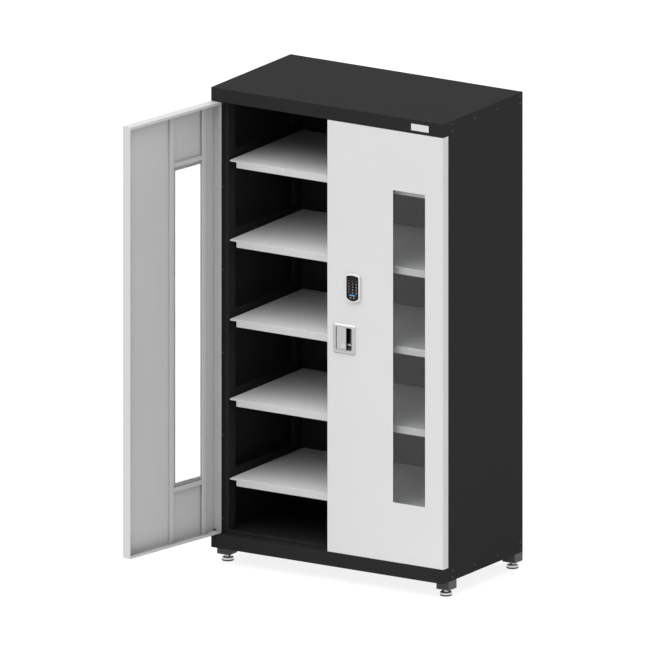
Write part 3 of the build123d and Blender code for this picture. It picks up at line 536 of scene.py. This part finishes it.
def block_between(low, high):
    """A block with its edges still sharp, as the open and active piece."""
    bpy.ops.object.select_all(action="DESELECT")
    bpy.ops.mesh.primitive_cube_add(size=1, location=[(a + b) / 2 for a, b in zip(low, high)])
    piece = bpy.context.object
    piece.scale = [b - a for a, b in zip(low, high)]
    settle(piece)
    return piece


def round_edges(piece, radius):
    """Rounds every sharp edge and keeps the flats flat."""
    only(piece)
    bevel = piece.modifiers.new("round_edges", "BEVEL")
    bevel.width = radius
    bevel.segments = 2
    bevel.angle_limit = sharp_from
    bpy.ops.object.modifier_apply(modifier=bevel.name)
    bpy.ops.object.shade_smooth_by_angle()


def join_as(name, pieces):
    """Joins the pieces into one under this name."""
    bpy.ops.object.select_all(action="DESELECT")
    for piece in pieces:
        piece.select_set(True)
    bpy.context.view_layer.objects.active = pieces[0]
    bpy.ops.object.join()
    whole = bpy.context.object
    whole.name = name
    whole.data.name = name
    return whole


low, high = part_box("battery_case")
lid = block_between((low[0] + lid_inset, high[1], low[2] + lid_inset),
                    (high[0] - lid_inset, high[1] + lid_thickness, high[2] - lid_inset))
open_faces(lid, lambda face: face.normal.y > square_on)
bpy.ops.mesh.inset(thickness=lid_rim, depth=-lid_panel)
bpy.ops.object.mode_set(mode="OBJECT")
round_edges(lid, edge_round)
lid_parts = [lid]
middle = (low[0] + high[0]) / 2
for row in range(3):
    z = high[2] - lid_inset - rib_below_top - rib_pitch * row
    back = high[1] + lid_thickness - lid_panel
    rib = block_between((middle - rib_size[0] / 2, back - lid_panel, z),
                        (middle + rib_size[0] / 2, back + rib_size[1], z + rib_size[2]))
    round_edges(rib, edge_round)
    lid_parts.append(rib)
lid = join_as("battery_lid", lid_parts)
lid.data.materials.clear()
lid.data.materials.append(case_abs)
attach(lid, "right_door")


# ---- Keypad ------------------------------------------------------------------------------------
# A white ABS shell screwed through the door from inside, with a black acrylic touch face pressed
# into it. The lamps, the digits and the blue bar shine through the face from behind.
dress(case_abs, "keypad_housing")

# Black acrylic: deep and glossy, with a weak reflection of the studio.
touch_face = moulded("black_acrylic_face", "0C0C0E", 0.16, grain_depth=0.0, specular=0.2)
dress(touch_face, "keypad_face")

low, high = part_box("keypad_face")
face_x = (low[0] + high[0]) / 2
face_y = low[1]
keys_z = 1.127
print_proud = 0.00008
screen_per_metre = 3000.0
thinnest_print = 0.85


def lit_print(name, colour, glow):
    """Screen print behind acrylic, lit from behind: its colour and a low glow of the same."""
    material, tree = bare_material(name)
    place = add_node(tree, "ShaderNodeTexCoord").outputs["Object"]
    screen = add_node(
        tree, "ShaderNodeTexNoise", {"Scale": screen_per_metre, "Detail": 1.0}, {"Vector": place})
    tone = add_node(
        tree, "ShaderNodeMapRange", {"To Min": thinnest_print, "To Max": 1.0},
        {"Value": screen.outputs["Fac"]})
    ink = add_node(
        tree, "ShaderNodeBsdfPrincipled",
        {"Roughness": 0.3, "Emission Strength": glow, "Emission Color": linear(colour)},
        {"Base Color": tinted(tree, colour, tone.outputs[0])})
    add_node(tree, "ShaderNodeOutputMaterial", links={"Surface": ink.outputs[0]})
    return material


# Twelve keys, three across and four down, with generic digits 5 mm high.
key_columns = (-0.0149, 0.0009, 0.0168)
key_rows = (0.0164, 0.0056, -0.0056, -0.0168)
digit_size = 0.0074
stroke_gain = 0.00012
digits = []
for z, line in zip(key_rows, ("123", "456", "789", "*0#")):
    for x, mark in zip(key_columns, line):
        bpy.ops.object.select_all(action="DESELECT")
        bpy.ops.object.text_add(
            location=(face_x + x, face_y, keys_z + z), rotation=(math.pi / 2, 0, 0))
        digit = bpy.context.object
        digit.data.body = mark
        digit.data.size = digit_size
        digit.data.align_x = "CENTER"
        digit.data.align_y = "CENTER"
        digit.data.extrude = print_proud
        digit.data.offset = stroke_gain
        digit.data.resolution_u = 3
        bpy.ops.object.convert(target="MESH")
        digit = bpy.context.object
        settle(digit)
        digits.append(digit)
digits = join_as("keypad_digits", digits)
digits.data.materials.clear()
digits.data.materials.append(lit_print("grey_lit_digits", "ACACAE", 0.25))
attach(digits, "right_door")

# Three lamps in a row above the keys, a low red, a dull red and a green lens.
lamp_radius = 0.0014
lamp_rise = 0.0003
lamp_above = 0.0276
lamps = (("left", -0.0150, "B4303E"), ("middle", 0.0006, "7C3A3C"), ("right", 0.0155, "2E8C58"))
for name, x, colour in lamps:
    lens = disc_to_front(20, lamp_radius, lamp_rise, (face_x + x, face_y, keys_z + lamp_above))
    lens.name = f"keypad_lamp_{name}"
    open_faces(lens, faces_front)
    bpy.ops.mesh.inset(thickness=lamp_radius / 3, depth=lamp_rise / 3)
    bpy.ops.mesh.inset(thickness=lamp_radius / 3, depth=lamp_rise / 6)
    bpy.ops.object.mode_set(mode="OBJECT")
    bpy.ops.object.shade_smooth_by_angle()
    lens.data.materials.append(lit_print(f"{name}_lamp_lens", colour, 0.5))
    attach(lens, "right_door")

# The bar below the keys glows blue and tapers to its ends.
bar_size = (0.0285, 2 * print_proud, 0.0054)
bar_below = 0.0265
bar = disc_to_front(48, 0.5, 1, (0, 0, 0))
bar.name = "keypad_light_bar"
bar.scale = bar_size
bar.location = (face_x, face_y, keys_z - bar_below)
settle(bar)
open_faces(bar, faces_front)
bpy.ops.mesh.inset(thickness=bar_size[2] / 8, depth=print_proud / 4)
bpy.ops.object.mode_set(mode="OBJECT")
bar.data.materials.append(lit_print("blue_lit_bar", "4E86AE", 0.35))
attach(bar, "right_door")

# Two small rings under the bar mark where a battery key touches.
ring_radius = 0.0017
ring_width = 0.0007
ring_below = 0.0363
for name, x in (("left", -0.0077), ("right", 0.0065)):
    ring = disc_to_front(
        20, ring_radius, 2 * print_proud, (face_x + x, face_y, keys_z - ring_below))
    ring.name = f"keypad_contact_{name}"
    open_faces(ring, faces_front)
    bpy.ops.mesh.inset(thickness=ring_width, depth=0)
    bpy.ops.mesh.inset(thickness=ring_width / 8, depth=-print_proud / 2)
    bpy.ops.object.mode_set(mode="OBJECT")
    ring.data.materials.append(lit_print(f"{name}_contact_print", "D8D2CC", 0.3))
    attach(ring, "right_door")


# ---- Name plate --------------------------------------------------------------------------------
# A small plate of white painted aluminium stuck on the fascia, left bare.
plate_paint = moulded("white_painted_plate", "D8D8D8", 0.4)
dress(plate_paint, "name_plate")


# ---- Legs and feet -----------------------------------------------------------------------------
# A pressed cup under each corner takes an M12 levelling foot: a turned disc on a threaded stem,
# bright nickel plated, locked by a nut and standing in a rubber sole whose edge shows black.
# Dark grey powder: a shade lighter than the carcass.
# Painted shade: every face not turned to the right is painted a shade darker.
leg_coat = powder_coat("dark_grey_powder_coat", "4E4E4E", 0.5, 0.3, towards=(1, 0, 0), rest=0.82)
dress(leg_coat, "leg_brackets")

# Bright nickel: nearly a mirror, so it shows the white floor and the black cabinet as bands.
foot_nickel = plated_metal("bright_nickel_plating", "C6C6C6", 0.12)
dress(foot_nickel, "foot_front_left", "foot_front_right", "foot_rear_left", "foot_rear_right")

# Each foot stands in a moulded rubber sole, a shallow cup that grips the disc's lower rim.
# Moulded rubber: black and matt, with a fine grain from the mould.
sole_radius = 0.0222
sole_height = 0.0054
sole_round = 0.0016
foot_rubber = moulded("black_moulded_rubber", "1A1A1A", 0.8)
for place in ("front_left", "front_right", "rear_left", "rear_right"):
    low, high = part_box(f"foot_pad_{place}")
    bpy.ops.object.select_all(action="DESELECT")
    bpy.ops.mesh.primitive_cylinder_add(
        vertices=64, radius=sole_radius, depth=sole_height,
        location=((low[0] + high[0]) / 2, (low[1] + high[1]) / 2, sole_height / 2))
    sole = bpy.context.object
    sole.name = f"foot_sole_{place}"
    settle(sole)
    open_faces(sole, lambda face: face.normal.z < -square_on)
    bpy.ops.mesh.bevel(offset=sole_round, segments=3, affect="EDGES")
    bpy.ops.object.mode_set(mode="OBJECT")
    bpy.ops.object.shade_smooth_by_angle()
    sole.data.materials.append(foot_rubber)
    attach(sole, f"foot_{place}")
    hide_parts(f"foot_pad_{place}")
